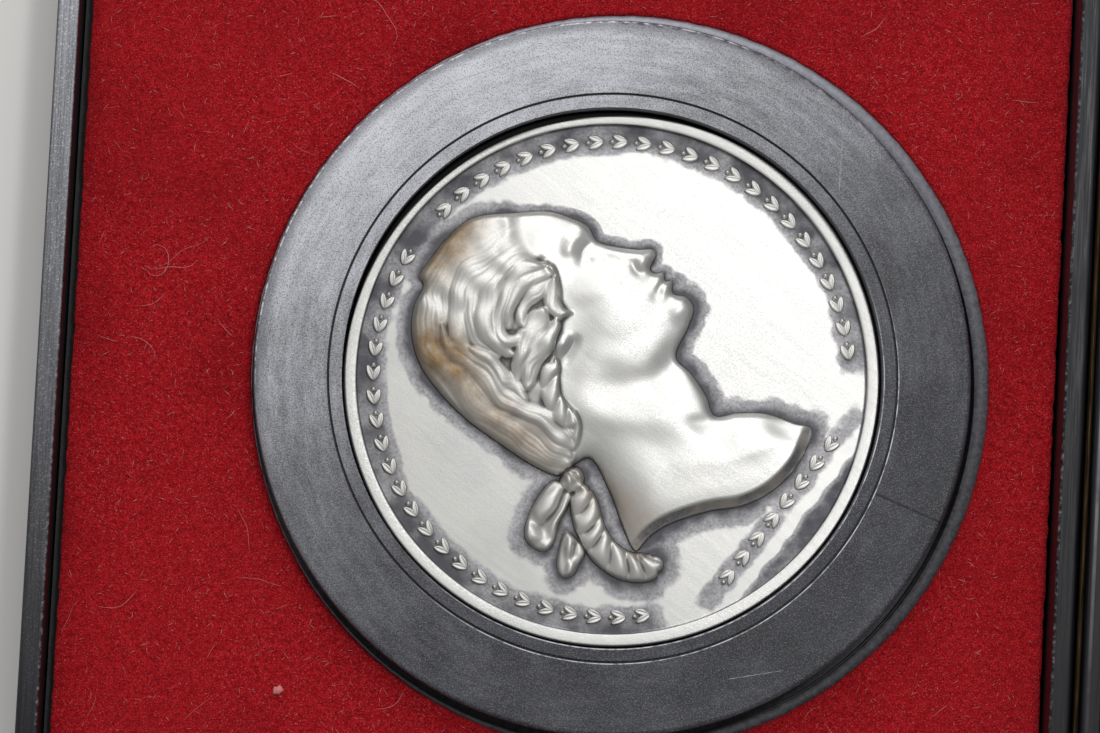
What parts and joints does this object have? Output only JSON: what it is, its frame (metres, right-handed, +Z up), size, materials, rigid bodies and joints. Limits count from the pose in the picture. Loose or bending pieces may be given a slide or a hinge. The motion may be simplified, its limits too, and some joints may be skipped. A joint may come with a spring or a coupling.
{
  "type": "commemorative medal in a hinged display case",
  "caption": "Round cast medal with a raised profile bust and leaf border, held in a black ring on a red velvet panel inside a flat hinged case that lies open.",
  "frame": {"origin": "centre of the case base's flat underside", "axes": "+Z up out of the open case, +X towards the hinge and the opened lid, +Y towards the end of the case that the bust's head leans to"},
  "size_m": [0.1486, 0.074, 0.011],
  "materials": {
    "silvered_metal": "antique silver, satin, darkened in the hollows",
    "ring_plastic": "matte black with fine scratches",
    "insert_plastic": "matte dark grey",
    "red_velvet": "short red pile",
    "case_plastic": "satin black with lengthwise scuffs",
    "hinge_brass": "drawn wire"
  },
  "bodies": {
    "case": {"case_base": "case_plastic", "insert_tray": "insert_plastic", "velvet_panel": "red_velvet", "bezel_ring": "ring_plastic", "medal": "silvered_metal", "hinge_pin": "hinge_brass"},
    "lid": {"lid": "case_plastic"}
  },
  "joints": [
    {"name": "lid_hinge", "type": "hinge", "parent": "case", "child": "lid", "pos_m": [0.0373, 0, 0.0101], "axis": [0, -1, 0], "range_deg": [0, 180]}
  ]
}
